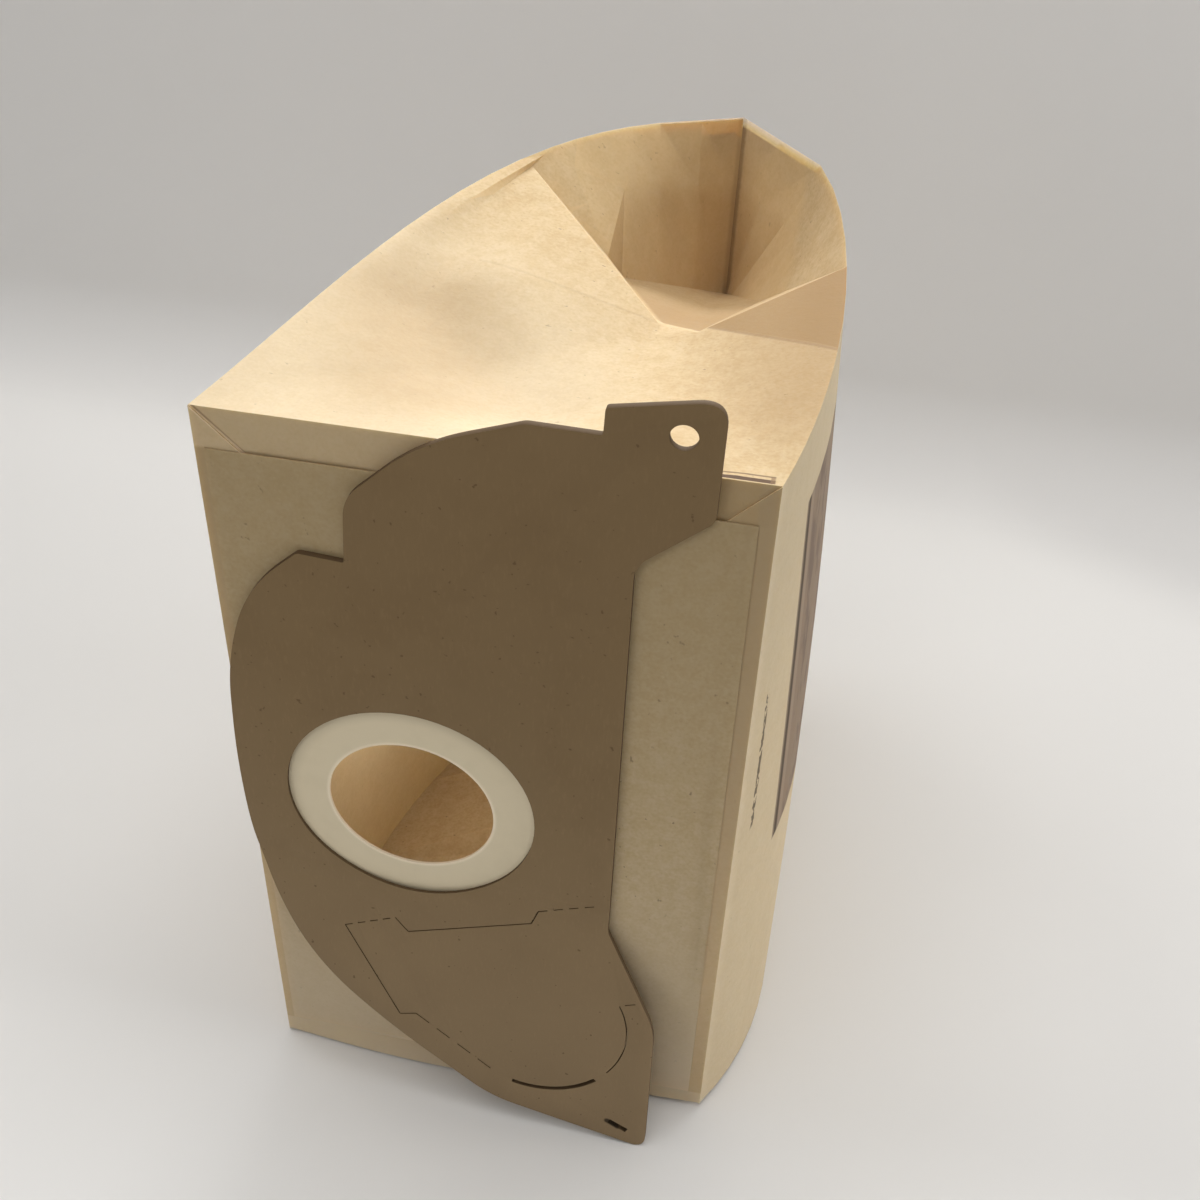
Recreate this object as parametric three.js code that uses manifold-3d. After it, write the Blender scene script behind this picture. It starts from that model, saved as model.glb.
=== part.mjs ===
// A paper dust bag with a cardboard mounting plate, opened out and standing on one pleated side.
// X runs across the block-bottomed end, Y from that end back to the pasted seam, and Z up.
import * as THREE from "three";
import { mergeVertices } from "three/addons/utils/BufferGeometryUtils.js";
import Module from "manifold-3d";

const wasm = await Module();
wasm.setup();

// Driving dimensions of the bag, in millimetres
const endWidth = 135; // across the block-bottomed end, and so the width of each pleated side
const panelHeight = 239; // broad panel, from one pleated side to the other
const tubeDepth = 202; // from the end straight back to where the broad panels are pasted together
const seamOffset = 35; // of that seam, to the right of the end's middle
const seamStrip = 28; // pasted strip folded back onto the left panel
const seamStripBearing = 65; // its direction, in degrees from straight back
const seamStripThickness = 0.9;
const seamStripHem = 0.02; // share of its outermost stretches that it stops short of the folds
const paper = 0.6; // two plies and the air between them
const leftBelly = 3; // how far each broad panel swells between its edges
const rightBelly = 4;

// The broad panels in plan: each leaves the end and arrives at its turn on a bearing from straight
// back, in degrees, and each reach says how far the curve holds to that bearing, in millimetres
const leftRim = { leave: 13, leaveReach: 59, arrive: 61, arriveReach: 62 };
const leftFoot = { leave: 0, leaveReach: 75, arrive: 66, arriveReach: 75 };
const rightRim = { leave: 13, leaveReach: 57, arrive: -22, arriveReach: 38 };
const rightFoot = { leave: 31, leaveReach: 62, arrive: -4, arriveReach: 58 };

// Where the right panel turns towards the seam: ahead of it, and to the right of it
const rightRimTurn = { ahead: 31, right: 27 };
const rightFootTurn = { ahead: 33, right: 31 };

// Folds of the upper pleat: places in plan, each with its drop below the panels' upper edges
const leftCreaseDistance = 101; // along the left panel's edge, from the end
const leftRidgeDistance = 171;
const rightCreaseDistance = 62;
const rightRidgeDistance = 107;
const crownLeft = { x: 29, y: 74, drop: 6.5 };
const crownRight = { x: 39.5, y: 70, drop: 5 };
const ridgeBend = { x: -23, y: 153, drop: 2.5 };
const pocketShoulder = { x: 2.8, y: 169, drop: 13.8 };
const pocketKnee = { x: 3, y: 142, drop: 23.5 };
const pocketFootLeft = { x: 6.5, y: 149, drop: 33.5 };
const pocketFootRight = { x: 49.5, y: 152, drop: 37.5 };
const pocketFootAhead = 5; // the deepest point, ahead of the seam
const pocketDepth = 60;
const endSag = 2.5; // of the broad front part of the upper pleat

// Folds of the lower pleat, which stands up inside the bag
const lowerPleatStart = { x: 20, y: 68, rise: 0.8 };
const lowerPleatHeight = 60;

// Driving dimensions of what is pasted on the end
const flapStep = 0.4; // folded end flaps, above the sheet under them
const glueLine = 0.05;
const patch = { left: 65, right: 63.5, top: 11, bottom: 8.5, thickness: 0.3 };
const membrane = { radius: 38, thickness: 0.7 };
const inlet = { x: -20.5, z: 119, radius: 23, overhang: 2 };

// The plate is board with a window that shows the sealing ring, which sits in a rebate at its back
const plateThickness = 1.7;
const plateWindow = { radius: 34.6, rise: 0.8 };
const rebateClearance = 0.3;

// The mounting plate lies flat above plateBend and leans away from the end below it
const plateBend = { height: 88, lean: 9.6, radius: 60, steps: 4 };
const tabHole = { x: 45.7, z: 249.5, radius: 3.2 };
const slitWidth = 0.35;
const closingFlap = { x: 17, z: 43, radius: 27 };
const fingerSlotWidth = 1.3;

// The plate's corners in its own flat sheet, each with how far its rounding reaches from it
const plateCorners = [
  { x: 28.6, z: 254.3, round: 0.8 },
  { x: 54.7, z: 259.6, round: 7 },
  { x: 54.2, z: 228.6, round: 2 },
  { x: 36.8, z: 213.4, round: 4 },
  { x: 35.7, z: 82.6, round: 1.5 },
  { x: 51.9, z: 48, round: 6 },
  { x: 52.9, z: -1.7, round: 5 },
  { x: 4, z: 8.4, round: 8 },
  { x: -27, z: 30, round: 13 },
  { x: -52, z: 52, round: 19 },
  { x: -67, z: 88, round: 19 },
  { x: -69, z: 126, round: 18 },
  { x: -67, z: 163, round: 13 },
  { x: -59, z: 189, round: 13 },
  { x: -44.6, z: 202.4, round: 0.8 },
  { x: -32.9, z: 201.6, round: 0.6 },
  { x: -31.7, z: 220.6, round: 5 },
  { x: -13, z: 238.6, round: 12 },
  { x: 11.2, z: 247.6, round: 1 },
  { x: 28.3, z: 247.4, round: 0.6 },
];

// The closing flap's cut lines: its fold with a tongue, its slanted side and its round end
const foldStart = { x: -41.6, z: 67.7 };
const foldStep = { x: -26.4, z: 73.9 };
const tongueStart = { x: -22.5, z: 69.4 };
const tongueEnd = { x: 13.7, z: 80.8 };
const foldStepBack = { x: 15.5, z: 85.7 };
const foldEnd = { x: 33.1, z: 92.2 };
const flapCorner = { x: -25, z: 36 };
const flapNotch = { x: -20, z: 37.3 };
const slantEnd = { x: 6, z: 18.4 };
const fingerSlotArc = [-104, -46]; // degrees round the closing flap
const flapArc = [-35, 27];
const flapTick = [
  { x: 42.6, z: 56 },
  { x: 45.6, z: 57.1 },
];
const foldPerforation = { dash: 3, gap: 2 };
const slantPerforation = { dash: 5, gap: 3 };
const smallSlot = { x: 44, z: 5.9, length: 6.4, width: 1.7, tilt: -26 };

const material = (color, roughness) =>
  new THREE.MeshStandardMaterial({ color, roughness, metalness: 0 });
const kraftPaper = material(0xd9c19a, 0.85);
const patchPaper = material(0xcdb78f, 0.85);
const greyBoard = material(0x8a7659, 0.9);
const ringCard = material(0xe2dac6, 0.7);

const radians = THREE.MathUtils.degToRad;
const lerp = THREE.MathUtils.lerp;

// A closed geometry as a solid, and back again
function solid(geometry) {
  const bare = new THREE.BufferGeometry().setAttribute(
    "position",
    (geometry.index ? geometry.toNonIndexed() : geometry).getAttribute("position"),
  );
  const welded = mergeVertices(bare, 1e-4);
  return new wasm.Manifold(
    new wasm.Mesh({
      numProp: 3,
      vertProperties: welded.attributes.position.array,
      triVerts: new Uint32Array(welded.index.array),
    }),
  );
}

function geometryOf(body) {
  const mesh = body.getMesh();
  const geometry = new THREE.BufferGeometry();
  geometry.setAttribute("position", new THREE.BufferAttribute(mesh.vertProperties, mesh.numProp));
  geometry.setIndex(new THREE.BufferAttribute(mesh.triVerts, 1));
  const faceted = geometry.toNonIndexed();
  faceted.computeVertexNormals();
  return faceted;
}

const geometryFrom = (triangles) => new THREE.BufferGeometry().setFromPoints(triangles.flat());

// A triangle, or nothing where its corners have closed up
function triangle(a, b, c) {
  const area = new THREE.Triangle(a, b, c).getArea();
  return area > 1e-6 ? [[a, b, c]] : [];
}

// Evenly spaced values from one to another, with the first left out
const spread = (from, to, count) =>
  Array.from({ length: count }, (_, i) => lerp(from, to, (i + 1) / count));

// Points on a straight line between two points, both ends included
const straight = (a, b, count) => [a, ...spread(0, 1, count).map((t) => a.clone().lerp(b, t))];

// The sheet through lines that have the same number of points
function sheetOf(lines) {
  const triangles = [];
  for (let row = 1; row < lines.length; row++) {
    for (let i = 1; i < lines[row].length; i++) {
      const [a, b] = [lines[row - 1][i - 1], lines[row - 1][i]];
      const [c, d] = [lines[row][i], lines[row][i - 1]];
      triangles.push(...triangle(a, b, c), ...triangle(a, c, d));
    }
  }
  return triangles;
}

// The sheet from one point to each stretch of a line
const fan = (apex, line) => line.slice(1).flatMap((p, i) => triangle(apex, line[i], p));

// The sheet between two lines with any number of points, stepping along the one that lags
function zip(from, to) {
  const triangles = [];
  const [fromEnd, toEnd] = [from.length - 1, to.length - 1];
  let [i, j] = [0, 0];
  while (i < fromEnd || j < toEnd) {
    const fromLags = (i + 1) * toEnd <= (j + 1) * fromEnd;
    if (j === toEnd || (i < fromEnd && fromLags)) {
      triangles.push(...triangle(from[i], from[i + 1], to[j]));
      i += 1;
    } else {
      triangles.push(...triangle(from[i], to[j + 1], to[j]));
      j += 1;
    }
  }
  return triangles;
}

const insetRounds = 400;
const sharpestInset = 5; // times the depth
const turned = (triangles) => triangles.map(([a, b, c]) => [a, c, b]);
const key = (p) => [p.x, p.y, p.z].map((value) => Math.round(value * 1000)).join(",");

// How each point of some sheets moves so that every sheet there goes in by a depth, or further in
// along a sharp fold, up to a limit
function inset(triangles, depth) {
  const normals = new Map();
  for (const corners of triangles) {
    const normal = new THREE.Triangle(...corners).getNormal(new THREE.Vector3());
    for (const p of corners) normals.set(key(p), [...(normals.get(key(p)) ?? []), normal]);
  }
  const moves = new Map();
  for (const [at, faces] of normals) {
    const move = new THREE.Vector3();
    for (let round = 0; round < insetRounds; round++) {
      for (const normal of faces) {
        const missing = Math.max(depth + move.dot(normal), 0);
        move.addScaledVector(normal, -missing);
      }
    }
    moves.set(at, move.clampLength(0, sharpestInset * depth));
  }
  return moves;
}

// A sheet of paper as a solid: its outer side and its inner side, joined along its border
function thickened(triangles, moves) {
  const inner = (p) => p.clone().add(moves.get(key(p)));
  const walls = [];
  const borders = new Map();
  for (const corners of triangles) {
    corners.forEach((p, i) => {
      const q = corners[(i + 1) % 3];
      const back = key(q) + ";" + key(p);
      if (borders.has(back)) borders.delete(back);
      else borders.set(key(p) + ";" + key(q), [p, q]);
    });
  }
  for (const [p, q] of borders.values()) {
    // Two sheets that meet at a border split it along the same diagonal
    if (key(p) < key(q)) walls.push([p, inner(p), inner(q)], [p, inner(q), q]);
    else walls.push([p, inner(p), q], [inner(p), inner(q), q]);
  }
  const under = turned(triangles).map((corners) => corners.map(inner));
  return solid(geometryFrom([...triangles, ...under, ...walls]));
}

// One broad panel's edge in plan: a curve from the end to its turn, then straight to the seam.
// A place on it is 0 to 1 along the curve, then 1 to 2 along the straight.
function edge(corner, turn, shape) {
  const towards = (from, bearing, reach) =>
    new THREE.Vector2(
      from.x + reach * Math.sin(radians(bearing)),
      from.y + reach * Math.cos(radians(bearing)),
    );
  const curve = new THREE.CubicBezierCurve(
    corner,
    towards(corner, shape.leave, shape.leaveReach),
    towards(turn, shape.arrive, -shape.arriveReach),
    turn,
  );
  const at = (place) =>
    place <= 1 ? curve.getPointAt(place) : turn.clone().lerp(seam, place - 1);
  return { at, length: curve.getLength() };
}

const seam = new THREE.Vector2(seamOffset, tubeDepth);
const fromSeam = ({ ahead, right }) => new THREE.Vector2(seam.x + right, seam.y - ahead);
const leftCorner = new THREE.Vector2(-endWidth / 2, 0);
const rightCorner = new THREE.Vector2(endWidth / 2, 0);
const stripStart = new THREE.Vector2(
  seam.x - seamStrip * Math.sin(radians(seamStripBearing)),
  seam.y - seamStrip * Math.cos(radians(seamStripBearing)),
);
const leftEdges = {
  rim: edge(leftCorner, stripStart, leftRim),
  foot: edge(leftCorner, stripStart, leftFoot),
};
const rightEdges = {
  rim: edge(rightCorner, fromSeam(rightRimTurn), rightRim),
  foot: edge(rightCorner, fromSeam(rightFootTurn), rightFoot),
};

// A point of a broad panel, at a place along its edges and a height from 0 at the foot to 1
function panelPoint(edges, place, height, belly) {
  const plan = edges.foot.at(place).lerp(edges.rim.at(place), height);
  const nearby = 0.01;
  const ahead = edges.rim.at(Math.min(place + nearby, 2));
  const behind = edges.rim.at(Math.max(place - nearby, 0));
  const along = ahead.sub(behind).normalize();
  const swell = belly * Math.sin(Math.PI * height) * Math.sin((Math.PI * place) / 2);
  return new THREE.Vector3(
    plan.x + along.y * swell,
    plan.y - along.x * swell,
    height * panelHeight,
  );
}

const leftCrease = leftCreaseDistance / leftEdges.rim.length;
const leftRidge = leftRidgeDistance / leftEdges.rim.length;
const rightCrease = rightCreaseDistance / rightEdges.rim.length;
const rightRidge = rightRidgeDistance / rightEdges.rim.length;
const endRows = 7; // columns of each panel from the end to its crease
const leftRidgeRows = 5; // and from there to its ridge
const rightRidgeRows = 3;
const leftPlaces = [
  0,
  ...spread(0, leftCrease, endRows),
  ...spread(leftCrease, leftRidge, leftRidgeRows),
  ...spread(leftRidge, 1, 4),
  ...spread(1, 2, 2),
];
const rightPlaces = [
  0,
  ...spread(0, rightCrease, endRows),
  ...spread(rightCrease, rightRidge, rightRidgeRows),
  ...spread(rightRidge, 1, 4),
  ...spread(1, 2, 2),
];
const heights = [0, ...spread(0, 1, 10)];

const panelLines = (edges, places, belly) =>
  heights.map((height) => places.map((place) => panelPoint(edges, place, height, belly)));
const leftLines = panelLines(leftEdges, leftPlaces, -leftBelly);
const rightLines = panelLines(rightEdges, rightPlaces, rightBelly);
const leftPanel = turned(sheetOf(leftLines));
const rightPanel = sheetOf(rightLines);

// The upper pleat, from the panels' upper edges and the folds between them
const leftTop = leftLines.at(-1);
const rightTop = rightLines.at(-1);
const below = ({ x, y, drop }) => new THREE.Vector3(x, y, panelHeight - drop);
const crown = [below(crownLeft), below(crownRight)];
const leftCreaseEnd = leftTop[endRows];
const rightCreaseEnd = rightTop[endRows];
const leftRidgeEnd = leftTop[endRows + leftRidgeRows];
const rightRidgeEnd = rightTop[endRows + rightRidgeRows];
const ridgeTurn = below(ridgeBend);
const wallMiddle = 0.4; // how far down the pocket's walls their middle line runs
const legs = [leftRidgeEnd.distanceTo(ridgeTurn), ridgeTurn.distanceTo(crown[0])];
const bendShare = legs[0] / (legs[0] + legs[1]);
const leftStops = [0, wallMiddle * bendShare, bendShare, ...spread(bendShare, 1, 4)];
const leftCreaseLine = leftStops.map((t) => leftCreaseEnd.clone().lerp(crown[0], t));
const rightCreaseLine = straight(crown[1], rightCreaseEnd, 3);
const creaseLine = [...leftCreaseLine, ...rightCreaseLine];
const acrossCrease = creaseLine.map(
  (p) => (p.x - leftCreaseEnd.x) / (rightCreaseEnd.x - leftCreaseEnd.x),
);
const endTop = acrossCrease.map((across) => leftTop[0].clone().lerp(rightTop[0], across));

function upperFront() {
  const lines = [endTop];
  for (let row = 1; row < endRows; row++) {
    const back = row / endRows;
    const [left, right] = [leftTop[row], rightTop[row]];
    const line = acrossCrease.map((across, i) => {
      if (i === 0) return left;
      if (i === acrossCrease.length - 1) return right;
      const middle = endTop[i].clone().lerp(creaseLine[i], back);
      const startShift = left.clone().sub(endTop[0].clone().lerp(leftCreaseEnd, back));
      const endShift = right.clone().sub(endTop.at(-1).clone().lerp(rightCreaseEnd, back));
      middle.addScaledVector(startShift, 1 - across).addScaledVector(endShift, across);
      middle.z -= endSag * Math.sin(Math.PI * across) * Math.sin(Math.PI * back);
      return middle;
    });
    lines.push(line);
  }
  lines.push(creaseLine);
  return sheetOf(lines);
}

const leftRidgeLine = [
  leftRidgeEnd,
  leftRidgeEnd.clone().lerp(ridgeTurn, wallMiddle),
  ...straight(ridgeTurn, crown[0], 4),
];
const rightRidgeLine = straight(crown[1], rightRidgeEnd, 3);

// Between a crease and a ridge that share their last point, with the panel's edge on the first
function betweenFolds(crease, ridge, border) {
  const lines = border.map((start, row) => {
    const t = row / (border.length - 1);
    return crease.map((p, i) => (i === 0 ? start : p.clone().lerp(ridge[i], t)));
  });
  return sheetOf(lines);
}

const upperLeft = betweenFolds(
  leftCreaseLine,
  leftRidgeLine,
  leftTop.slice(endRows, endRows + leftRidgeRows + 1),
);
const upperRight = turned(
  betweenFolds(
    rightCreaseLine.toReversed(),
    rightRidgeLine.toReversed(),
    rightTop.slice(endRows, endRows + rightRidgeRows + 1),
  ),
);

// The pocket behind the crown, where the pleat still folds in between the panels
const pocketFloor = new THREE.Vector3(
  seam.x,
  seam.y - pocketFootAhead,
  panelHeight - pocketDepth,
);
const shoulder = below(pocketShoulder);
const knee = below(pocketKnee);
const footLeft = below(pocketFootLeft);
const footRight = below(pocketFootRight);
const leftFootLine = [
  ridgeTurn,
  ridgeTurn.clone().lerp(knee, 0.5),
  knee,
  ...straight(footLeft, pocketFloor, 3),
];
const rightFootLine = [rightRidgeEnd, ...straight(footRight, pocketFloor, 5)];
const leftPocketRim = leftTop.slice(endRows + leftRidgeRows);
const rightPocketRim = rightTop.slice(endRows + rightRidgeRows);

function pocketWall(rim, foot, shoulderAt) {
  const middle = rim.map((p, i) => p.clone().lerp(foot[i], wallMiddle));
  if (shoulderAt) middle[shoulderAt] = shoulder;
  return sheetOf([rim, middle, foot]);
}

const upperPocket = [
  ...turned(pocketWall(leftPocketRim, leftFootLine, 2)),
  ...pocketWall(rightPocketRim, rightFootLine),
  ...zip(leftRidgeLine.slice(2), leftFootLine.slice(0, 4)),
  ...fan(footRight, rightRidgeLine),
  ...turned(fan(crown[0], leftFootLine.slice(3))),
  ...triangle(crown[0], crown[1], pocketFloor),
  ...fan(crown[1], rightFootLine.slice(1)),
];
const upperPleat = [...upperFront(), ...upperLeft, ...upperRight, ...upperPocket];

// The lower pleat: a flat triangle at the end, then two slopes that rise to a ridge
const endFoot = acrossCrease.map((across) =>
  leftLines[0][0].clone().lerp(rightLines[0][0], across),
);
const lowerStart = new THREE.Vector3(lowerPleatStart.x, lowerPleatStart.y, lowerPleatStart.rise);
const lowerTop = new THREE.Vector3(seam.x, seam.y - pocketFootAhead, lowerPleatHeight);
const lowerRidge = straight(lowerStart, lowerTop, 6);
const lowerPleat = [
  ...turned(fan(lowerStart, endFoot)),
  ...turned(zip(lowerRidge, leftLines[0])),
  ...turned(zip(rightLines[0], lowerRidge)),
];

// The block-bottomed end, with every point of its border
const endBorder = [
  ...endFoot,
  ...rightLines.slice(1).map((line) => line[0]),
  ...endTop.toReversed().slice(1),
  ...leftLines.toReversed().slice(1).map((line) => line[0]),
];
const endCentre = new THREE.Vector3(0, 0, panelHeight / 2);
const endSheet = fan(endCentre, endBorder);

const sheets = [leftPanel, rightPanel, upperPleat, lowerPleat, endSheet];
const skin = sheets.flat();
const skinInset = inset(skin, paper);

// A grid of points with its border drawn in a little from the folds that it would end on
function hemmed(lines) {
  const hem = (p, next) => p.clone().lerp(next, seamStripHem);
  const ends = (row) => [hem(row[0], row[1]), ...row.slice(1, -1), hem(row.at(-1), row.at(-2))];
  const across = (grid) => grid[0].map((_, i) => grid.map((row) => row[i]));
  return across(across(lines.map(ends)).map(ends));
}

// A flat sheet parallel to the end, from a shape drawn in X and Z, with its front at a depth in Y
function flatSheet(shape, front, thickness) {
  const geometry = new THREE.ExtrudeGeometry(shape, {
    depth: thickness,
    bevelEnabled: false,
    curveSegments: 10,
  });
  geometry.rotateX(Math.PI / 2);
  geometry.translate(0, front + thickness, 0);
  return solid(geometry);
}

// A round peg through the end, to cut holes with
function peg(x, z, radius, length) {
  const geometry = new THREE.CylinderGeometry(radius, radius, length, 72);
  geometry.translate(x, 0, z);
  return solid(geometry);
}

function polygon(points) {
  return new THREE.Shape(points.map(([x, z]) => new THREE.Vector2(x, z)));
}

const halfEnd = endWidth / 2;
const endFlaps = polygon([
  [-halfEnd, 0],
  [0, halfEnd],
  [halfEnd, 0],
  [halfEnd, panelHeight],
  [0, panelHeight - halfEnd],
  [-halfEnd, panelHeight],
]);

function bagBody() {
  const whole = solid(geometryFrom(skin));
  const walls = sheets.map((sheet) => thickened(sheet, skinInset));
  const air = whole.subtract(wasm.Manifold.union(walls)).decompose();
  const inside = air.reduce((a, b) => (a.volume() > b.volume() ? a : b));
  const sunk = paper / 2;
  const under = turned(sheetOf(hemmed(leftLines.map((line) => line.slice(-3)))));
  const raise = inset(turned(under), seamStripThickness);
  const strip = under.map((corners) => corners.map((p) => p.clone().add(raise.get(key(p)))));
  return whole
    .subtract(inside)
    .add(thickened(strip, inset(strip, seamStripThickness + sunk)))
    .add(flatSheet(endFlaps, -flapStep, flapStep + sunk))
    .subtract(peg(inlet.x, inlet.z, inlet.radius + inlet.overhang, 20));
}

// The paper patch pasted over the folded end flaps
const patchFront = -flapStep - glueLine - patch.thickness;

function endPatch() {
  const sheet = flatSheet(
    polygon([
      [-patch.left, patch.bottom],
      [patch.right, patch.bottom],
      [patch.right, panelHeight - patch.top],
      [-patch.left, panelHeight - patch.top],
    ]),
    patchFront,
    patch.thickness,
  );
  return sheet.subtract(peg(inlet.x, inlet.z, inlet.radius + inlet.overhang, 20));
}

// The flat ring that seals round the inlet, between the patch and the plate
const membraneBack = patchFront - glueLine;
const membraneFront = membraneBack - membrane.thickness;

function sealingMembrane() {
  const disc = new THREE.Shape().absarc(inlet.x, inlet.z, membrane.radius, 0, 2 * Math.PI);
  const sheet = flatSheet(disc, membraneFront, membrane.thickness);
  return sheet.subtract(peg(inlet.x, inlet.z, inlet.radius, 20));
}

const plateFront = patchFront - glueLine - plateThickness;

// An outline whose corners are eased by a curve that starts and ends a set reach from each
function easedOutline(corners) {
  const shape = new THREE.Shape();
  corners.forEach((corner, i) => {
    const here = new THREE.Vector2(corner.x, corner.z);
    const before = corners.at(i - 1);
    const after = corners[(i + 1) % corners.length];
    const towards = ({ x, z }) => {
      const way = new THREE.Vector2(x, z).sub(here);
      return here.clone().addScaledVector(way.normalize(), corner.round);
    };
    const [from, to] = [towards(before), towards(after)];
    if (i === 0) shape.moveTo(from.x, from.y);
    else shape.lineTo(from.x, from.y);
    shape.quadraticCurveTo(here.x, here.y, to.x, to.y);
  });
  shape.closePath();
  return shape;
}

// A cut right through the flat plate, of some width, along a straight or round the flap's arc
const cutDepth = 10;

function straightCut(from, to, width) {
  const length = Math.hypot(to.x - from.x, to.z - from.z);
  const geometry = new THREE.BoxGeometry(length, cutDepth, width);
  geometry.rotateY(-Math.atan2(to.z - from.z, to.x - from.x));
  geometry.translate((from.x + to.x) / 2, 0, (from.z + to.z) / 2);
  return solid(geometry);
}

function arcCut(fromDegrees, toDegrees, width) {
  const { x, z, radius } = closingFlap;
  const [from, to] = [radians(fromDegrees), radians(toDegrees)];
  const shape = new THREE.Shape();
  shape.absarc(x, z, radius + width / 2, from, to, false);
  shape.absarc(x, z, radius - width / 2, to, from, true);
  return flatSheet(shape, -cutDepth / 2, cutDepth);
}

// A row of short cuts, each a dash long and a gap from the next
function perforation(from, to, { dash, gap }) {
  const length = Math.hypot(to.x - from.x, to.z - from.z);
  const count = Math.max(1, Math.round((length + gap) / (dash + gap)));
  const at = (t) => ({ x: lerp(from.x, to.x, t), z: lerp(from.z, to.z, t) });
  const step = 1 / count;
  const share = (step * dash) / (dash + gap);
  return Array.from({ length: count }, (_, i) =>
    straightCut(at(i * step), at(i * step + share), slitWidth),
  );
}

// Splits every triangle that crosses a level, so that the sheet can bend there
function scored(triangles, level) {
  const crossing = (p, q) => {
    const [low, high] = p.z < q.z ? [p, q] : [q, p];
    return low.clone().lerp(high, (level - low.z) / (high.z - low.z));
  };
  return triangles.flatMap((corners) => {
    const sides = corners.map((p) => Math.sign(Math.abs(p.z - level) < 1e-4 ? 0 : p.z - level));
    if (!sides.includes(1) || !sides.includes(-1)) return [corners];
    const alone = sides.includes(0)
      ? (sides.indexOf(0) + 1) % 3
      : sides.findIndex((side) => sides.filter((other) => other === side).length === 1);
    const [a, b, c] = [0, 1, 2].map((i) => corners[(alone + i) % 3]);
    const last = sides[(alone + 2) % 3];
    if (last === 0) {
      const ab = crossing(a, b);
      return [...triangle(a, ab, c), ...triangle(ab, b, c)];
    }
    const [ab, ac] = [crossing(a, b), crossing(a, c)];
    return [...triangle(a, ab, ac), ...triangle(ab, b, c), ...triangle(ab, c, ac)];
  });
}

// Where a point of the flat plate goes when the plate's lower part leans out
function leaned(p) {
  const { height, lean, radius } = plateBend;
  const full = radians(lean);
  const start = height + (radius * full) / 2;
  const angle = THREE.MathUtils.clamp((start - p.z) / radius, 0, full);
  const beyond = Math.max(start - radius * full - p.z, 0);
  const behind = p.y - plateFront;
  const out = radius * (1 - Math.cos(angle)) + beyond * Math.sin(angle);
  const down = radius * Math.sin(angle) + beyond * Math.cos(angle);
  const above = Math.max(p.z, start);
  return new THREE.Vector3(
    p.x,
    plateFront - out + behind * Math.cos(angle),
    above - down - behind * Math.sin(angle),
  );
}

// The room behind the plate's front layer that the sealing ring lies in
function rebate() {
  const depth = membrane.thickness + 2 * glueLine;
  const room = peg(inlet.x, inlet.z, membrane.radius + rebateClearance, depth);
  return room.translate(0, membraneFront - glueLine + depth / 2, 0);
}

function mountingPlate() {
  const { x, z, length, width, tilt } = smallSlot;
  const half = new THREE.Vector2(length / 2, 0).rotateAround(new THREE.Vector2(), radians(tilt));
  const cuts = [
    peg(inlet.x, inlet.z + plateWindow.rise, plateWindow.radius, cutDepth),
    rebate(),
    peg(tabHole.x, tabHole.z, tabHole.radius, cutDepth),
    ...perforation(foldStart, foldStep, foldPerforation),
    straightCut(foldStep, tongueStart, slitWidth),
    straightCut(tongueStart, tongueEnd, slitWidth),
    straightCut(tongueEnd, foldStepBack, slitWidth),
    ...perforation(foldStepBack, foldEnd, foldPerforation),
    straightCut(foldStart, flapCorner, slitWidth),
    straightCut(flapCorner, flapNotch, slitWidth),
    ...perforation(flapNotch, slantEnd, slantPerforation),
    arcCut(...fingerSlotArc, fingerSlotWidth),
    arcCut(...flapArc, slitWidth),
    straightCut(...flapTick, slitWidth),
    straightCut({ x: x - half.x, z: z - half.y }, { x: x + half.x, z: z + half.y }, width),
  ];
  let sheet = flatSheet(easedOutline(plateCorners), plateFront, plateThickness);
  for (const cut of cuts) sheet = sheet.subtract(cut);
  const points = geometryOf(sheet).getAttribute("position");
  let triangles = [];
  for (let i = 0; i < points.count; i += 3) {
    triangles.push([0, 1, 2].map((k) => new THREE.Vector3().fromBufferAttribute(points, i + k)));
  }
  const arc = plateBend.radius * radians(plateBend.lean);
  const levels = [0, ...spread(0, 1, plateBend.steps)];
  for (const t of levels) {
    triangles = scored(triangles, plateBend.height + arc * (t - 0.5));
  }
  return solid(geometryFrom(triangles.map((corners) => corners.map(leaned))));
}

const group = new THREE.Group();

function addMesh(name, body, finish) {
  const mesh = new THREE.Mesh(geometryOf(body), finish);
  mesh.name = name;
  group.add(mesh);
}

addMesh("bag_body", bagBody(), kraftPaper);
addMesh("end_patch", endPatch(), patchPaper);
addMesh("sealing_membrane", sealingMembrane(), ringCard);
addMesh("mounting_plate", mountingPlate(), greyBoard);

// The origin is the middle of the whole bag's footprint, on the table
const box = new THREE.Box3().setFromObject(group);
const middle = box.getCenter(new THREE.Vector3());
group.position.set(-middle.x, -middle.y, -box.min.z);

export default group;
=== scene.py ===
# %% [markdown]
# # A paper dust bag, dressed for its portrait
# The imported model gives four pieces: the folded paper bag, the patch on its end, the sealing ring
# and the cardboard mounting plate. This lesson softens the paper, rounds the cut edges of the board,
# mixes the paper and board materials, and sets up the floor, the light and the camera.

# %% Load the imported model
from math import cos, exp, pi, radians, sin

import bpy
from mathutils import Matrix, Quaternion, Vector


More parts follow.
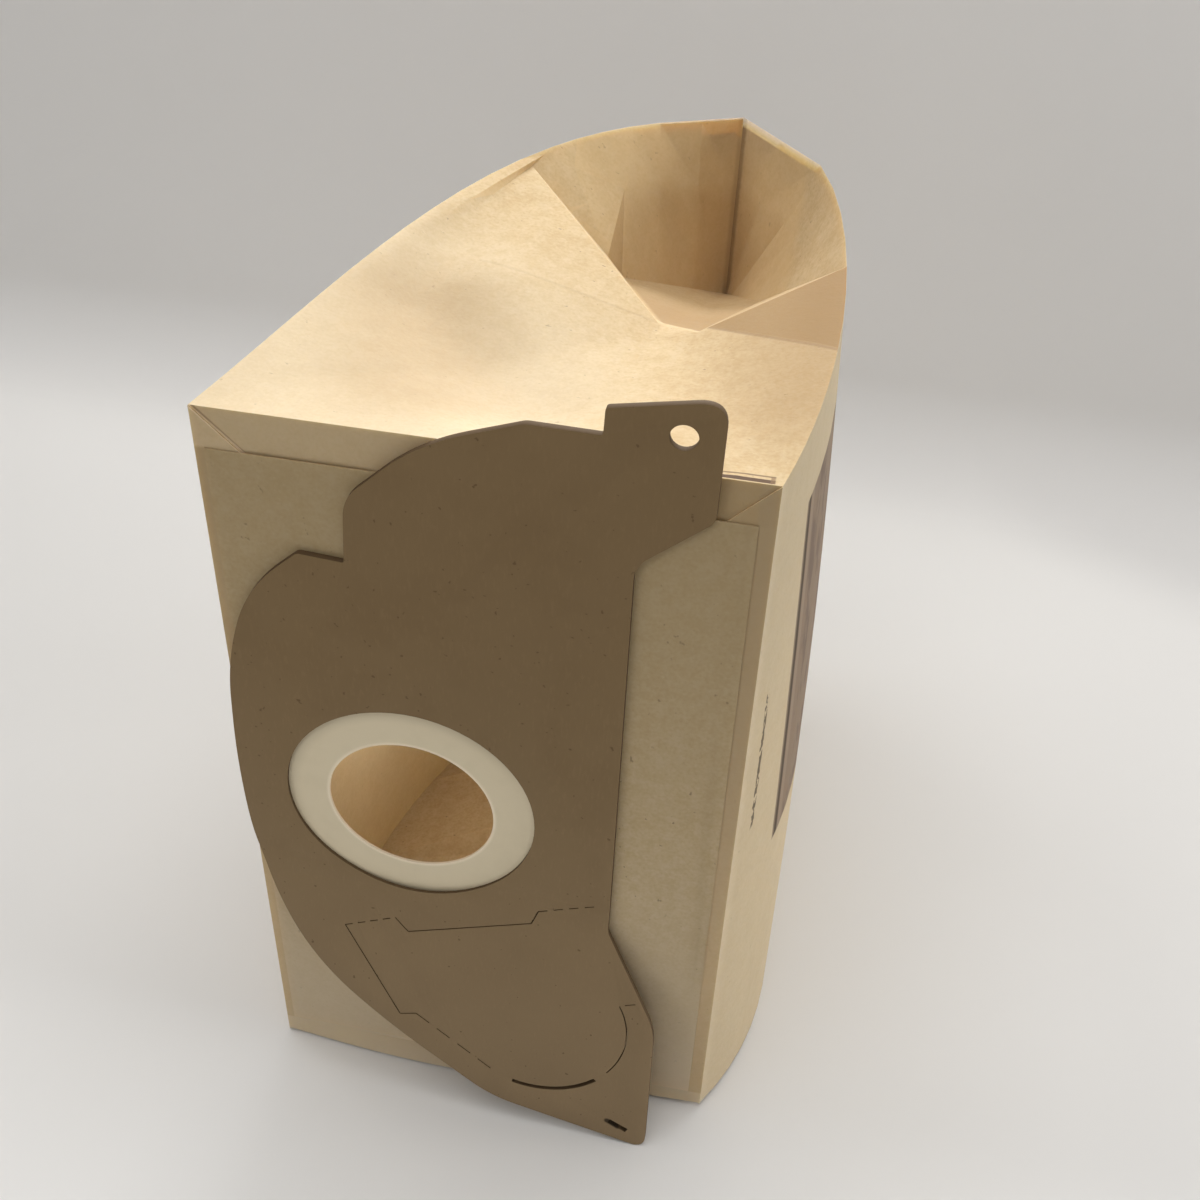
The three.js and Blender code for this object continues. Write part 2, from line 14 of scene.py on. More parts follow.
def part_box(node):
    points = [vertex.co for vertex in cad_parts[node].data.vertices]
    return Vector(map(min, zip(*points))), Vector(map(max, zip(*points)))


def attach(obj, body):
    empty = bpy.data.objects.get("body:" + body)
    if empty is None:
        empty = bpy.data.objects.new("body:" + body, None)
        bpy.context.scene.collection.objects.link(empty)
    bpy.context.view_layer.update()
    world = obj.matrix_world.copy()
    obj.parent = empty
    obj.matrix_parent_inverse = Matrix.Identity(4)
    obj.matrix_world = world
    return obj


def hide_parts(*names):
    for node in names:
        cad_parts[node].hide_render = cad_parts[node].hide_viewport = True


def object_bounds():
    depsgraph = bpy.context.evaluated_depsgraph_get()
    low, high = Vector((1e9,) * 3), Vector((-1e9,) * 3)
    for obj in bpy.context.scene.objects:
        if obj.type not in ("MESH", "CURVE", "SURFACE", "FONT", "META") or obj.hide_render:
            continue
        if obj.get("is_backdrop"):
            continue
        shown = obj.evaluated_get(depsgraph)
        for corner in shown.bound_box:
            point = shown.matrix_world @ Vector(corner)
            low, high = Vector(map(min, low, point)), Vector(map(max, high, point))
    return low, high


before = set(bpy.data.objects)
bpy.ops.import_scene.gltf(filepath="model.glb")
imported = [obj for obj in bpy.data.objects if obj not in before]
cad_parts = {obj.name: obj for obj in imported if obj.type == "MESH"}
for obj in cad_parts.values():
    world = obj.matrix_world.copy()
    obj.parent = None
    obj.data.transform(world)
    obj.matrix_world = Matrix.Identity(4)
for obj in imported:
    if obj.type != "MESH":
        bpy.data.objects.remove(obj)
bpy.ops.object.select_all(action="DESELECT")
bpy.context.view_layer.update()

# %% [markdown]
# ## Where things are
# The end of the bag is a flat rectangle that faces the camera. Its middle, on the table, is the
# point from which the sizes below are measured: x across the end, y back from it, z up.

# %% Real sizes, in metres
MM = 0.001
bag_low, bag_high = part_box("bag_body")
END_WIDTH = 135 * MM
FLAP_STEP = 0.4 * MM
end_foot = Vector((bag_low.x + END_WIDTH / 2, bag_low.y + FLAP_STEP, 0.0))


def at(x, y, z):
    """A place in the model's frame, from millimetres measured from the foot of the end."""
    return end_foot + Vector((x, y, z)) * MM


print("foot of the end:", [round(c, 4) for c in end_foot])

# %% [markdown]
# ## Working on a copy
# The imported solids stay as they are. Where a piece needs finer or softer geometry, a copy of the
# solid is welded, worked on, and shown in its place.


# %% Copying and selecting
def only(obj):
    """Makes obj the one selected and active object."""
    bpy.ops.object.select_all(action="DESELECT")
    obj.select_set(True)
    bpy.context.view_layer.objects.active = obj
    return obj


def copy_of(node, name):
    """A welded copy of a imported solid, in the same place, with no material yet."""
    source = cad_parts[node]
    piece = bpy.data.objects.new(name, source.data.copy())
    bpy.context.scene.collection.objects.link(piece)
    piece.data.materials.clear()
    only(piece)
    bpy.ops.object.mode_set(mode="EDIT")
    bpy.ops.mesh.select_all(action="SELECT")
    bpy.ops.mesh.remove_doubles(threshold=0.001 * MM)
    bpy.ops.mesh.customdata_custom_splitnormals_clear()
    bpy.ops.object.mode_set(mode="OBJECT")
    return piece


def apply(obj, kind, **settings):
    """Adds a modifier with these settings and applies it."""
    only(obj)
    modifier = obj.modifiers.new(kind.title(), kind)
    for key, value in settings.items():
        setattr(modifier, key, value)
    bpy.ops.object.modifier_apply(modifier=modifier.name)


# %% [markdown]
# ## The paper bag
# Planes a few millimetres apart cut the copy into small, even faces. That gives the paper enough
# points to bend at.

# %% Cut the paper into an even grid
paper_bag = copy_of("bag_body", "paper_bag")
GRID = 6 * MM
bpy.ops.object.mode_set(mode="EDIT")
for axis in range(3):
    normal = Vector([float(i == axis) for i in range(3)])
    low, high = bag_low[axis], bag_high[axis]
    count = int((high - low) / GRID)
    for step in range(1, count):
        bpy.ops.mesh.select_all(action="SELECT")
        place = Vector(bag_low)
        place[axis] = low + (high - low) * step / count
        bpy.ops.mesh.bisect(plane_co=place, plane_no=normal)
bpy.ops.object.mode_set(mode="OBJECT")
print("paper faces:", len(paper_bag.data.polygons))

# %% [markdown]
# The folds of the upper pleat meet near the middle of the top. There the paper has sunk in, back and
# down, and it rises again in flat facets towards the bag's edges. A shallow dip crosses its left half.

# %% Where the paper gives, in millimetres
FOLDS_MEET = Vector((34, 72))
SUNK = 15
SINKING = Vector((-0.11, 0.87, -0.48))
FACET_CORNERS = [(-67, 1), (67, 1), (73, 61), (73, 106), (49, 152), (6, 148), (-22, 152), (-45, 99)]
DIP = [Vector((-38, 128)), Vector((-40, 75)), Vector((4, 23))]
DIP_DEPTH = 4.0
DIP_REACH = 16
DIP_EDGE = 6  # how much faster than a facet the dip fades in at its border
PLEAT_STARTS = 150


# %% Heights over the plan
def facet_height(place):
    """1 where the folds meet, falling evenly to 0 at the facets' corners and outside them."""
    corners = [Vector(corner) - FOLDS_MEET for corner in FACET_CORNERS]
    offset = place - FOLDS_MEET
    for a, b in zip(corners, corners[1:] + corners[:1]):
        span = a.x * b.y - a.y * b.x
        s = (offset.x * b.y - offset.y * b.x) / span
        t = (a.x * offset.y - a.y * offset.x) / span
        if s >= 0 and t >= 0:
            return max(0.0, 1 - s - t)
    return 0.0


def distance_to_path(place, path):
    """How far a place in plan is from the nearest point of a bent line."""
    nearest = float("inf")
    for a, b in zip(path, path[1:]):
        share = max(0.0, min(1.0, (place - a).dot(b - a) / (b - a).length_squared))
        nearest = min(nearest, (place - a.lerp(b, share)).length)
    return nearest


# %% Let the paper give
for vertex in paper_bag.data.vertices:
    place = (vertex.co - end_foot) / MM
    if place.z < PLEAT_STARTS:
        continue
    sunk = facet_height(place.xy)
    dip = exp(-((distance_to_path(place.xy, DIP) / DIP_REACH) ** 2)) * min(1.0, DIP_EDGE * sunk)
    vertex.co += (SINKING * SUNK * sunk - Vector((0, 0, DIP_DEPTH)) * dip) * MM

# %% [markdown]
# The end doesn't stand flat on the table. Its right corner is lifted, its bottom edge is just clear
# of the sheet, so that a dark line shows under it, and that edge flares towards the camera.

# %% Lift and flare the end's bottom edge
LIFT = 2.2
LIFT_STARTS = 40
LIFT_RUN = 27
LIFT_HEIGHT = 30
LIFT_BACK = 40
CLEARANCE = 0.7
FLARE = 3.5
FLARE_STARTS = -67
FLARE_RUN = 105
EDGE = 3
for vertex in paper_bag.data.vertices:
    place = (vertex.co - end_foot) / MM
    across = max(0.0, min(1.0, (place.x - LIFT_STARTS) / LIFT_RUN))
    low = max(0.0, 1 - max(place.z, 0) / LIFT_HEIGHT)
    near = max(0.0, 1 - max(place.y, 0) / LIFT_BACK)
    vertex.co.z += LIFT * across * (low * near) * MM
    if place.z < EDGE and place.y < EDGE:
        vertex.co.z += CLEARANCE * (1 - across) * MM
        along = max(0.0, min(1.0, (place.x - FLARE_STARTS) / FLARE_RUN))
        vertex.co.y -= FLARE * sin(pi * along) * MM

# %% Shade it smooth between folds
only(paper_bag)
bpy.ops.object.shade_smooth_by_angle(angle=radians(24))

# %% [markdown]
# ## The mounting plate
# A narrow bevel rounds the cut edges of the board, so that they catch the light.

# %% Round the board's edges
plate_board = copy_of("mounting_plate", "plate_board")
bpy.ops.object.mode_set(mode="EDIT")
bpy.ops.mesh.select_all(action="SELECT")
bpy.ops.mesh.dissolve_limited(angle_limit=radians(0.4))
bpy.ops.object.mode_set(mode="OBJECT")
apply(plate_board, "BEVEL", width=0.12 * MM, segments=2, limit_method="ANGLE", angle_limit=radians(50))
bpy.ops.object.shade_smooth_by_angle(angle=radians(35))
print("board faces:", len(plate_board.data.polygons))

# %% Say what stands for what
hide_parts("bag_body")
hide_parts("mounting_plate")
for piece in (paper_bag, plate_board):
    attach(piece, "root")

# %% [markdown]
# ## Materials
# Each material is a few sums over noise. `Sum` lets them be written as sums: adding, multiplying
# and mixing make the nodes.


# %% Shader arithmetic
class Sum:
    """A number in a material's node tree."""

    def __init__(self, nodes, socket):
        self.nodes = nodes
        self.socket = socket

    def _maths(self, operation, other, swap=False):
        node = self.nodes.new("ShaderNodeMath")
        node.operation = operation
        pair = (other, self) if swap else (self, other)
        for place, value in zip(node.inputs, pair):
            if isinstance(value, Sum):
                self.nodes.id_data.links.new(value.socket, place)
            else:
                place.default_value = value
        return Sum(self.nodes, node.outputs[0])

    def __add__(self, other):
        return self._maths("ADD", other)

    def __sub__(self, other):
        return self._maths("SUBTRACT", other)

    def __rsub__(self, other):
        return self._maths("SUBTRACT", other, swap=True)

    def __mul__(self, other):
        return self._maths("MULTIPLY", other)

    def power(self, exponent):
        return self._maths("POWER", exponent)

    def least(self, other):
        return self._maths("MINIMUM", other)

    def most(self, other):
        return self._maths("MAXIMUM", other)

    def size(self):
        return self._maths("ABSOLUTE", 0.0)

    def step(self, low, high):
        """0 below low, 1 above high, and smooth between them."""
        node = self.nodes.new("ShaderNodeMapRange")
        node.interpolation_type = "SMOOTHSTEP"
        node.inputs["From Min"].default_value = low
        node.inputs["From Max"].default_value = high
        self.nodes.id_data.links.new(self.socket, node.inputs["Value"])
        return Sum(self.nodes, node.outputs["Result"])


class Finish:
    """A material being mixed: coordinates, noise, colour layers, roughness and relief."""

    def __init__(self, name, color, roughness):
        self.material = bpy.data.materials.new(name)
        self.material.use_nodes = True
        self.nodes = self.material.node_tree.nodes
        self.links = self.material.node_tree.links
        self.shader = self.nodes["Principled BSDF"]
        self.shader.inputs["Roughness"].default_value = roughness
        place = self.nodes.new("ShaderNodeTexCoord").outputs["Object"]
        shift = self.nodes.new("ShaderNodeVectorMath")
        shift.operation = "MULTIPLY_ADD"
        self.links.new(place, shift.inputs[0])
        shift.inputs[1].default_value = (1 / MM, 1 / MM, 1 / MM)
        shift.inputs[2].default_value = -end_foot / MM
        self.place = shift.outputs[0]
        parts = self.nodes.new("ShaderNodeSeparateXYZ")
        self.links.new(self.place, parts.inputs[0])
        self.x, self.y, self.z = (Sum(self.nodes, socket) for socket in parts.outputs)
        faces = self.nodes.new("ShaderNodeNewGeometry").outputs["True Normal"]
        turned = self.nodes.new("ShaderNodeSeparateXYZ")
        self.links.new(faces, turned.inputs[0])
        self.facing = [Sum(self.nodes, socket) for socket in turned.outputs]
        self.color = self._color(color)

    def _color(self, color):
        node = self.nodes.new("ShaderNodeRGB")
        node.outputs[0].default_value = (*color, 1)
        return node.outputs[0]

    def noise(self, size, detail=3.0, stretch=(1, 1, 1), rough=0.55):
        """Noise from 0 to 1 whose features are about size millimetres, drawn out by stretch."""
        scale = self.nodes.new("ShaderNodeVectorMath")
        scale.operation = "MULTIPLY"
        self.links.new(self.place, scale.inputs[0])
        scale.inputs[1].default_value = [1 / (size * pull) for pull in stretch]
        node = self.nodes.new("ShaderNodeTexNoise")
        node.inputs["Scale"].default_value = 1
        node.inputs["Detail"].default_value = detail
        node.inputs["Roughness"].default_value = rough
        self.links.new(scale.outputs[0], node.inputs["Vector"])
        return Sum(self.nodes, node.outputs[0])

    def beside(self, across, along, start, end):
        """How far a place is from a straight line between two points, in millimetres."""
        run = (end[0] - start[0], end[1] - start[1])
        square = run[0] ** 2 + run[1] ** 2
        a, b = across - start[0], along - start[1]
        share = ((a * run[0] + b * run[1]) * (1 / square)).most(0).least(1)
        return ((a - share * run[0]).power(2) + (b - share * run[1]).power(2)).power(0.5)

    def layer(self, color, amount):
        """Lays a colour over what is there, as strongly as amount says."""
        node = self.nodes.new("ShaderNodeMix")
        node.data_type = "RGBA"
        self.links.new((amount * 1.0).socket, node.inputs["Factor"])
        self.links.new(self.color, node.inputs[6])
        node.inputs[7].default_value = (*color, 1)
        self.color = node.outputs[2]

    def relief(self, height, depth):
        """Bumps whose highest point stands depth millimetres above the lowest."""
        node = self.nodes.new("ShaderNodeBump")
        node.inputs["Strength"].default_value = 1.0
        node.inputs["Distance"].default_value = depth * MM
        self.links.new(height.socket, node.inputs["Height"])
        self.links.new(node.outputs[0], self.shader.inputs["Normal"])

    def done(self, roughness=None):
        self.links.new(self.color, self.shader.inputs["Base Color"])
        if roughness:
            self.links.new(roughness.socket, self.shader.inputs["Roughness"])
        return self.material


# %% [markdown]
# ## The colours of the paper
# All are browns. The base colours come as three, with a darker and a paler one for the clouds.

# %% Colours
KRAFT = ((0.545, 0.395, 0.218), (0.465, 0.315, 0.152), (0.615, 0.465, 0.28))
PATCH = ((0.59, 0.43, 0.24), (0.52, 0.36, 0.18), (0.66, 0.5, 0.31))
# Painted shade, laid where shade falls on the paper
SHADE_BROWN = (0.3, 0.185, 0.078)
PALER_BROWN = (0.66, 0.535, 0.375)
PATCH_SHADE = (0.36, 0.25, 0.12)
LINE_BROWN = (0.2, 0.115, 0.055)
GAP_BROWN = (0.09, 0.05, 0.026)
# Painted highlight, for fold edges, the bag's corner and the patch's foot
HIGHLIGHT_PALE = (0.8, 0.62, 0.42)
INK = (0.185, 0.13, 0.09)


# %% Kraft paper
def kraft(name, color, dark, pale):
    """Brown paper with clouds, fine grain and a few dark fibres."""
    paper = Finish(name, color, 0.85)
    paper.shader.inputs["Specular IOR Level"].default_value = 0.25
    paper.shader.inputs["Subsurface Weight"].default_value = 0.25
    paper.shader.inputs["Subsurface Radius"].default_value = (1.0, 0.75, 0.45)
    paper.shader.inputs["Subsurface Scale"].default_value = 5 * MM
    clouds = paper.noise(14, detail=4)
    paper.layer(dark, clouds.step(0.45, 0.8) * 0.4)
    paper.layer(pale, (1 - clouds).step(0.5, 0.85) * 0.4)
    grain = paper.noise(1.0, detail=3)
    paper.layer(dark, grain.step(0.48, 0.72) * 0.5)
    paper.layer(pale, (1 - grain).step(0.5, 0.75) * 0.4)
    mottles = paper.noise(4, detail=3)
    paper.layer(dark, mottles.step(0.48, 0.7) * 0.35)
    paper.layer(pale, (1 - mottles).step(0.48, 0.7) * 0.35)
    flecks = paper.noise(1.5, detail=2, stretch=(1.5, 1, 2)).step(0.71, 0.76)
    paper.layer((0.2, 0.13, 0.07), flecks * 0.7)
    paper.relief(paper.noise(1.2, detail=3) + paper.noise(7, detail=2) * 1.5, 0.05)
    paper.rough = grain * 0.1 + 0.78
    return paper


# %% The bag's upper side
def paint_top(paper, top):
    """Painted shade behind the fold that runs right from where the folds meet and on the strip towards
    the right rim, painted shade along the fold lines, and a paler front left with painted shade along
    the dip.
    """
    x, y, z = paper.x, paper.y, paper.z
    # Painted shade on the facet behind the fold and on the near pocket floor, and on the strip in
    # front of the fold towards the right rim
    behind_fold = ((x - 37.4) * 0.53 + (y - 85) * 0.848).step(-0.4, 1.2)
    right_of_pocket = ((x - 27.5) * 0.947 + (y - 87) * 0.321).step(-0.5, 2)
    shade_strength = x.step(55, 70) * 0.12 - y.step(105, 155) * 0.5 + 0.88
    paper.layer(SHADE_BROWN, top * behind_fold * right_of_pocket * shade_strength)
    towards_rim = x.step(25, 74) * y.step(-5, 40)
    paper.layer(SHADE_BROWN, top * towards_rim * (1 - behind_fold) * 0.6)

    # Painted shade along the fold lines and in the crease at the back of the pocket, each a faint
    # brown line
    for start, end, strength in (
        ((37, 85.5), (75, 61.5), 0.45),
        ((-24, 95.4), (27.5, 87), 0.15),
    ):
        line = 1 - paper.beside(x, y, start, end).step(0.2, 0.9)
        paper.layer(LINE_BROWN, top * line * strength)
    pocket_corner_shade = 1 - paper.beside(x, y, (35, 196), (35, 202)).step(0.7, 1.8)
    paper.layer(LINE_BROWN, pocket_corner_shade * z.step(176, 180) * 0.55)

    # The front left is paler, with painted shade along the dip
    dip_shade = 1 - paper.beside(x, y, (-24, 30), (-34, 68)).step(4, 34)
    away_from_pocket = 1 - (x * 0.53 + y * 0.848).step(40, 105)
    paper.layer(PALER_BROWN, top * away_from_pocket * (1 - x.step(0, 45)) * 0.5)
    paper.layer(SHADE_BROWN, top * dip_shade * 0.38)


# %% Surfaces inside the bag
def paint_inside(paper, up):
    """Walls in the pocket painted paler and warmer as bounced light, with painted shade darker down
    them, and a greyer left panel behind the inlet.
    """
    x, y, z = paper.x, paper.y, paper.z
    in_pocket = z.step(178, 186) * y.step(104, 112) * (1 - x.step(56, 60))
    outer_left = (0 - paper.facing[0]).step(0, 0.2) * (1 - x.step(36, 38))
    outer_back = paper.facing[1].step(0.1, 0.3)
    pocket_wall = (1 - up) * in_pocket * (1 - outer_left) * (1 - outer_back)
    # Painted light: the pocket walls paler and warmer; painted shade: darker towards their foot
    paper.layer((0.68, 0.47, 0.24), pocket_wall * 0.5)
    paper.layer(SHADE_BROWN, pocket_wall * (1 - z.step(185, 245)) * 0.1)
    far_left = paper.facing[0].step(0.6, 0.8) * (1 - x.step(-50, -40)) * (1 - z.step(120, 160))
    paper.layer((0.6, 0.5, 0.35), far_left * 0.5)


# %% The bag's end
def paint_end(paper, forward):
    """Painted shade beside the patch, darker towards the top, a paler strip above it, the fold at the
    left corner with a painted highlight along it, a painted shadow beside it and slight painted shade
    past it, and the hem.
    """
    x, z = paper.x, paper.z
    above_patch = z.step(227.5, 228.5) * forward
    past_left_fold = x + z - 171.5
    beside_patch = (1 - above_patch).most(x.step(48, 54))
    paper.layer((0.6, 0.465, 0.29), forward * 0.6)
    # Painted shade: the end darker towards the top, as on the patch
    paper.layer(PATCH_SHADE, forward * beside_patch * (z.step(90, 230) * 0.55 + 0.08))
    paper.layer((0.4, 0.31, 0.19), forward * x.step(62.5, 63.5) * z.step(60, 160) * 0.45)
    # At the left corner fold: slight painted shade past it, a painted shadow beside it and a painted
    # highlight along it
    paper.layer(SHADE_BROWN, above_patch * past_left_fold.step(-0.3, 0.3) * 0.08)
    fold_shadow = past_left_fold.step(0.2, 0.6) * (1 - past_left_fold.step(0.9, 1.6))
    paper.layer(LINE_BROWN, above_patch * fold_shadow * 0.7)
    diagonal = paper.beside(x, z, (-67.5, 239), (-55.5, 227.5))
    paper.layer(HIGHLIGHT_PALE, forward * (1 - diagonal.step(0.2, 0.5)) * 0.7)
    paper.layer((0.66, 0.53, 0.36), forward * (1 - z.step(7.5, 8.5)) * 0.8)


# %% The doubled edge at the top right
def paint_open_edge(paper, top):
    """Painted shade in the gap where the edge is open a little: two dark lines and the short line that
    ends them.
    """
    x, y = paper.x, paper.y
    open_edge = top * (1 - x.step(65.5, 66))
    # Painted shade in the open gap of the edge
    for start, finish, strength in ((0.3, 1.8, 0.97), (2.8, 3.4, 0.7)):
        gap = y.step(start, start + 0.2) * (1 - y.step(finish, finish + 0.2))
        paper.layer(GAP_BROWN, open_edge * x.step(53, 54.5) * gap * strength)
    slit_end = x.step(64.6, 64.9) * y.step(0.3, 0.5) * (1 - y.step(3.2, 3.4))
    paper.layer(LINE_BROWN, open_edge * slit_end * 0.7)


# %% The bag's right panel
def paint_right_panel(paper, outward):
    """A painted highlight along the corner, the panel greyer with painted shade towards its top, a
    broken line of small print, and the printed field, plain.
    """
    y, z = paper.y, paper.z
    from_corner = paper.beside(paper.x, y, (67.5, 0), (67.5, 0.1))
    # Painted highlight along the rounded corner
    paper.layer(HIGHLIGHT_PALE, outward * (1 - from_corner.step(0.6, 5)) * 0.25)
    # Greyer over the whole panel, and painted shade towards its top
    paper.layer((0.54, 0.455, 0.32), outward * 0.6)
    paper.layer((0.36, 0.29, 0.19), outward * z.step(150, 235) * 0.25)

    # Small print is a wandering line, broken by noise
    wander = from_corner + paper.noise(5, detail=1) * 2
    small_print = wander.step(9.6, 9.9) * (1 - wander.step(11.6, 11.9))
    broken = paper.noise(2.2, detail=2, stretch=(1, 1, 1.4)).step(0.44, 0.5)
    small_print = outward * small_print * broken * z.step(121, 123) * (1 - z.step(170, 172))
    paper.layer((0.07, 0.05, 0.03), small_print * 0.85)

    # The field is brown ink with a dark border line, a paler stripe and blotches
    field = outward * from_corner.step(29, 29.6) * (1 - y.step(158, 159))
    field = field * z.step(97, 98) * (1 - z.step(215, 216))
    paper.layer(INK, field * 0.88)
    border = from_corner.step(30.5, 31) * (1 - from_corner.step(33, 33.6))
    paper.layer((0.05, 0.035, 0.02), field * border * 0.85)
    stripe = from_corner.step(33.5, 34) * (1 - from_corner.step(37, 37.6))
    paper.layer((0.3, 0.225, 0.16), field * stripe * 0.6)
    blotches = paper.noise(9, detail=3, stretch=(1, 1, 2)).step(0.5, 0.62)
    paper.layer((0.12, 0.085, 0.07), field * from_corner.step(38, 40) * blotches * 0.6)


# %% The whole bag
def bag_paper():
    paper = kraft("Kraft paper", *KRAFT)
    up = paper.facing[2].step(0.7, 0.85)
    top = up * paper.z.step(170, 180)
    paint_top(paper, top)
    paint_inside(paper, up)
    paint_end(paper, (0 - paper.facing[1]).step(0.6, 0.8) * (1 - paper.y.step(4, 8)))
    paint_open_edge(paper, top)
    paint_right_panel(paper, paper.facing[0].step(0.6, 0.8) * paper.x.step(60, 62))
    return paper.done(paper.rough)


# %% The patch, with painted shade towards the top and painted light at its foot
def patch_paper():
    paper = kraft("Patch paper", *PATCH)
    x, z = paper.x, paper.z
    # Painted shade towards the top and painted light towards the foot
    paper.layer(PATCH_SHADE, z.step(90, 230) * 0.55)
    paper.layer((0.68, 0.53, 0.35), (1 - z.step(10, 130)) * 0.7)
    paper.layer(HIGHLIGHT_PALE, (1 - z.step(8, 45)) * x.step(50, 60) * 0.4)
    streaks = paper.noise(5, detail=2, stretch=(1, 1, 30)).step(0.45, 0.7)
    paper.layer((0.42, 0.29, 0.15), streaks * x.step(56, 62) * z.step(40, 90) * 0.5)
    return paper.done(paper.rough)


# %% Grey board
def board():
    grey = Finish("Grey board", (0.238, 0.161, 0.08), 0.8)
    grey.shader.inputs["Specular IOR Level"].default_value = 0.15
    z = grey.z
    clouds = grey.noise(25, detail=4)
    grey.layer((0.2, 0.13, 0.062), clouds.step(0.42, 0.7) * 0.5)
    fibres = grey.noise(0.7, detail=3, stretch=(1, 1, 4))
    grey.layer((0.31, 0.21, 0.11), fibres.step(0.5, 0.75) * 0.3)
    # Painted shade towards the top of the plate and painted light towards its foot
    grey.layer((0.2, 0.13, 0.062), z.step(60, 250) * 0.5)
    grey.layer((0.337, 0.245, 0.147), (1 - z.step(0, 190)) * 0.5)
    specks = grey.noise(1.6, detail=1).step(0.74, 0.78)
    grey.layer((0.1, 0.06, 0.03), specks * 0.6)
    # Painted shade on the cut edges of the board
    cut_edge = 1 - grey.facing[1].size().step(0.3, 0.6)
    grey.layer((0.09, 0.056, 0.028), cut_edge * 0.9)
    # Painted shade in and around the small slot
    small_slot = grey.beside(grey.x, z, (40.6, 8.4), (44.0, 6.6))
    grey.layer((0.03, 0.02, 0.012), (1 - small_slot.step(0.5, 1.2)) * 0.9)
    grey.relief(fibres + clouds, 0.04)
    return grey.done(fibres * 0.12 + 0.72)


# %% The sealing ring
def ring():
    card = Finish("Sealing ring", (0.76, 0.65, 0.45), 0.55)
    card.layer((0.68, 0.58, 0.39), card.noise(6, detail=4).step(0.45, 0.8) * 0.3)
    radius = ((card.x + 20.5).power(2) + (card.z - 119).power(2)).power(0.5)
    # Painted highlight on the ring's inner rim
    card.layer((0.95, 0.82, 0.62), (1 - radius.step(23.2, 24.2)) * 0.8)
    # Painted shade near the outer edge at the upper left, under the edge of the plate's hole
    upper_left = (card.z - card.x * 0.5).step(118, 150)
    card.layer((0.5, 0.42, 0.28), radius.step(30.5, 34.5) * upper_left * 0.45)
    card.relief(card.noise(1.5), 0.02)
    return card.done(card.noise(3) * 0.1 + 0.5)


# %% Give each piece its material
paper_bag.data.materials.append(bag_paper())
plate_board.data.materials.append(board())
for node, material in {"end_patch": patch_paper(), "sealing_membrane": ring()}.items():
    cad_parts[node].material_slots[0].material = material

# %% [markdown]
# ## Floor, light and camera
# The bag stands on a pale sheet that curves up behind it into a low wall. The strongest lamp stands
# behind and above the wall, so the top is bright and the end that faces the camera is in soft shade.
# Broad weak panels all round soften that shade.

# %% Floor and backdrop
BEND_STARTS = 340 * MM
BEND_RADIUS = 45 * MM
BEND_STEPS = 10
WALL_HEIGHT = 260 * MM
SHEET_SIZE = 6
middle = end_foot.y + BEND_STARTS - SHEET_SIZE / 2
bpy.ops.mesh.primitive_plane_add(size=SHEET_SIZE, location=(0, middle, 0))
backdrop = bpy.context.active_object
backdrop.name = "backdrop"
bpy.ops.object.transform_apply(location=True)
bpy.ops.object.mode_set(mode="EDIT")
bpy.ops.mesh.select_mode(type="EDGE")
bpy.ops.mesh.select_all(action="DESELECT")
bpy.ops.object.mode_set(mode="OBJECT")
for edge in backdrop.data.edges:
    edge.select = all(backdrop.data.vertices[i].co.y > 0 for i in edge.vertices)
bpy.ops.object.mode_set(mode="EDIT")
stride = 2 * BEND_RADIUS * sin(pi / 4 / BEND_STEPS)
for step in range(BEND_STEPS):
    turn = pi / 2 * (step + 0.5) / BEND_STEPS
    move = Vector((0, cos(turn), sin(turn))) * stride
    bpy.ops.mesh.extrude_region_move(TRANSFORM_OT_translate={"value": move})
bpy.ops.mesh.extrude_region_move(TRANSFORM_OT_translate={"value": (0, 0, WALL_HEIGHT)})
bpy.ops.object.mode_set(mode="OBJECT")
bpy.ops.object.shade_smooth_by_angle(angle=radians(30))

# %% The sheet's colour, with painted shade up its wall
pale = Finish("Pale sheet", (0.8, 0.785, 0.76), 0.9)
pale.layer((0.78, 0.765, 0.74), pale.noise(160, detail=2).step(0.4, 0.7) * 0.5)
# Painted shade up the wall, starting nearer on the right
nearer_at_the_right = pale.y + (pale.x - 150).most(0) * 0.5
pale.layer((0.69, 0.677, 0.66), nearer_at_the_right.step(320, 385))

# A camera behind the sheet looks through it; light doesn't
behind = Sum(pale.nodes, pale.nodes.new("ShaderNodeNewGeometry").outputs["Backfacing"])
seen = Sum(pale.nodes, pale.nodes.new("ShaderNodeLightPath").outputs["Is Camera Ray"])
pale.links.new((1 - behind * seen).socket, pale.shader.inputs["Alpha"])
backdrop.data.materials.append(pale.done())
backdrop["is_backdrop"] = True


# %% Light
def panel(name, place, towards, size, watts):
    bpy.ops.object.light_add(type="AREA", location=place)
    lamp = bpy.context.active_object
    lamp.name = name
    lamp.data.shape = "SQUARE"
    lamp.data.size = size
    lamp.data.energy = watts
    lamp.rotation_euler = (Vector(towards) - Vector(place)).to_track_quat("-Z", "Y").to_euler()


